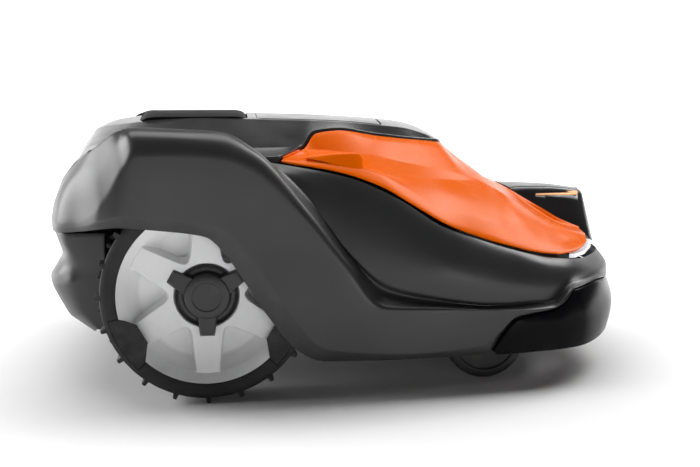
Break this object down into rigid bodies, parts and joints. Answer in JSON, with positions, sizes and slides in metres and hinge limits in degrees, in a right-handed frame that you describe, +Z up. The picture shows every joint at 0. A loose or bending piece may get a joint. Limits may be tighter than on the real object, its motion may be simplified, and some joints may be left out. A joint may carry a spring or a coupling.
{
  "type": "robotic lawn mower",
  "caption": "Robotic lawn mower: floating dark shell with an orange cover, large driven rear wheels, front castors and a height-adjustable disc with pivoting blades.",
  "frame": {"origin": "on the ground, at the middle of the bounding box", "axes": "+X towards the front, +Y to the left, +Z up"},
  "size_m": [0.72, 0.56, 0.317],
  "materials": {
    "dark_shell": "satin moulded plastic",
    "orange_cover": "gloss",
    "deck_gloss": "gloss",
    "black_gloss": "satin gloss",
    "lens": "clear",
    "copper": "brushed",
    "steel": "brushed",
    "chassis_plastic": "textured",
    "seal_rubber": "matt",
    "battery_wrap": "satin",
    "circuit_board": "satin",
    "motor_case": "satin",
    "key_plastic": "satin",
    "tyre_rubber": "matt",
    "rim_silver": "satin silver grey",
    "hub_black": "satin",
    "castor_plastic": "satin"
  },
  "bodies": {
    "chassis": {"chassis_tub": "chassis_plastic", "chassis_lid": "chassis_plastic", "chassis_seal": "seal_rubber", "battery_left": "battery_wrap", "battery_right": "battery_wrap", "main_board": "circuit_board", "drive_motor_left": "motor_case", "drive_motor_right": "motor_case", "height_motor": "motor_case", "control_panel": "chassis_plastic", "display_glass": "lens", "bellows": "seal_rubber"},
    "float_frame": {"float_frame": "chassis_plastic"},
    "shell": {"body_shell": "dark_shell", "rear_skirt": "dark_shell", "top_cover": "orange_cover", "top_deck": "deck_gloss", "nose_cover": "black_gloss", "front_bumper": "black_gloss", "headlight_left": "lens", "headlight_right": "lens", "charge_strip_left": "copper", "charge_strip_right": "copper", "hatch_pin": "steel"},
    "hatch": {"hatch_lid": "deck_gloss"},
    "stop_button": {"stop_button": "black_gloss"},
    "height_carriage": {"height_carriage": "chassis_plastic", "blade_motor": "motor_case"},
    "height_screw": {"height_screw": "steel"},
    "blade_disc": {"blade_disc": "steel", "blade_screw_1": "steel", "blade_screw_2": "steel", "blade_screw_3": "steel"},
    "skid_plate": {"skid_plate": "chassis_plastic"},
    "key_start": {"key_start": "key_plastic"},
    "key_home": {"key_home": "key_plastic"},
    "key_select": {"key_select": "key_plastic"},
    "blade_1": {"blade_1": "steel"},
    "blade_2": {"blade_2": "steel"},
    "blade_3": {"blade_3": "steel"},
    "drive_wheel_left": {"rim_left": "rim_silver", "tyre_left": "tyre_rubber", "hub_knob_left": "hub_black", "wheel_axle_left": "steel", "tyre_clip_left_1": "tyre_rubber", "tyre_clip_left_2": "tyre_rubber", "tyre_clip_left_3": "tyre_rubber"},
    "castor_fork_left": {"castor_fork_left": "chassis_plastic", "castor_axle_left": "steel"},
    "castor_wheel_left": {"castor_wheel_left": "castor_plastic"},
    "drive_wheel_right": {"rim_right": "rim_silver", "tyre_right": "tyre_rubber", "hub_knob_right": "hub_black", "wheel_axle_right": "steel", "tyre_clip_right_1": "tyre_rubber", "tyre_clip_right_2": "tyre_rubber", "tyre_clip_right_3": "tyre_rubber"},
    "castor_fork_right": {"castor_fork_right": "chassis_plastic", "castor_axle_right": "steel"},
    "castor_wheel_right": {"castor_wheel_right": "castor_plastic"}
  },
  "joints": [
    {"name": "shell_bump", "type": "slide", "parent": "chassis", "child": "float_frame", "axis": [1, 0, 0], "range_m": [-0.006, 0.006], "stiffness_N_per_m": 3000},
    {"name": "shell_lift", "type": "slide", "parent": "float_frame", "child": "shell", "axis": [0, 0, 1], "range_m": [0, 0.008]},
    {"name": "hatch_hinge", "type": "hinge", "parent": "shell", "child": "hatch", "pos_m": [0.045, 0, 0.2948], "axis": [0, 1, 0], "range_deg": [0, 75]},
    {"name": "stop_press", "type": "slide", "parent": "shell", "child": "stop_button", "axis": [0, 0, -1], "range_m": [0, 0.004], "stiffness_N_per_m": 1500},
    {"name": "cutting_height", "type": "slide", "parent": "chassis", "child": "height_carriage", "axis": [0, 0, 1], "range_m": [-0.02, 0.02], "deforming": ["bellows"]},
    {"name": "height_screw_turn", "type": "hinge", "parent": "chassis", "child": "height_screw", "pos_m": [0.094, 0, 0.15], "axis": [0, 0, 1], "range_deg": [-360, 360]},
    {"name": "disc_spin", "type": "hinge", "parent": "height_carriage", "child": "blade_disc", "pos_m": [0.01, 0, 0.05], "axis": [0, 0, 1], "continuous": true},
    {"name": "skid_spin", "type": "hinge", "parent": "blade_disc", "child": "skid_plate", "pos_m": [0.01, 0, 0.04], "axis": [0, 0, 1], "continuous": true},
    {"name": "blade_pivot_1", "type": "hinge", "parent": "blade_disc", "child": "blade_1", "pos_m": [0.08967, 0.046, 0.0476], "axis": [0, 0, 1], "continuous": true},
    {"name": "blade_pivot_2", "type": "hinge", "parent": "blade_disc", "child": "blade_2", "pos_m": [-0.06967, 0.046, 0.0476], "axis": [0, 0, 1], "continuous": true},
    {"name": "blade_pivot_3", "type": "hinge", "parent": "blade_disc", "child": "blade_3", "pos_m": [0.01, -0.092, 0.0476], "axis": [0, 0, 1], "continuous": true},
    {"name": "press_start", "type": "slide", "parent": "chassis", "child": "key_start", "axis": [0, 0, -1], "range_m": [0, 0.0015], "stiffness_N_per_m": 800},
    {"name": "press_home", "type": "slide", "parent": "chassis", "child": "key_home", "axis": [0, 0, -1], "range_m": [0, 0.0015], "stiffness_N_per_m": 800},
    {"name": "press_select", "type": "slide", "parent": "chassis", "child": "key_select", "axis": [0, 0, -1], "range_m": [0, 0.0015], "stiffness_N_per_m": 800},
    {"name": "drive_wheel_left_spin", "type": "hinge", "parent": "chassis", "child": "drive_wheel_left", "pos_m": [-0.172, 0, 0.1225], "axis": [0, 1, 0], "continuous": true},
    {"name": "castor_left_swivel", "type": "hinge", "parent": "chassis", "child": "castor_fork_left", "pos_m": [0.173, 0.19, 0.12], "axis": [0, 0, 1], "continuous": true},
    {"name": "castor_left_spin", "type": "hinge", "parent": "castor_fork_left", "child": "castor_wheel_left", "pos_m": [0.161, 0.19, 0.048], "axis": [0, 1, 0], "continuous": true},
    {"name": "drive_wheel_right_spin", "type": "hinge", "parent": "chassis", "child": "drive_wheel_right", "pos_m": [-0.172, 0, 0.1225], "axis": [0, 1, 0], "continuous": true},
    {"name": "castor_right_swivel", "type": "hinge", "parent": "chassis", "child": "castor_fork_right", "pos_m": [0.173, -0.19, 0.12], "axis": [0, 0, 1], "continuous": true},
    {"name": "castor_right_spin", "type": "hinge", "parent": "castor_fork_right", "child": "castor_wheel_right", "pos_m": [0.161, -0.19, 0.048], "axis": [0, 1, 0], "continuous": true}
  ],
  "couplings": [
    {"joint": "height_screw_turn", "follows": "cutting_height", "rad_per_m": 251.33}
  ]
}
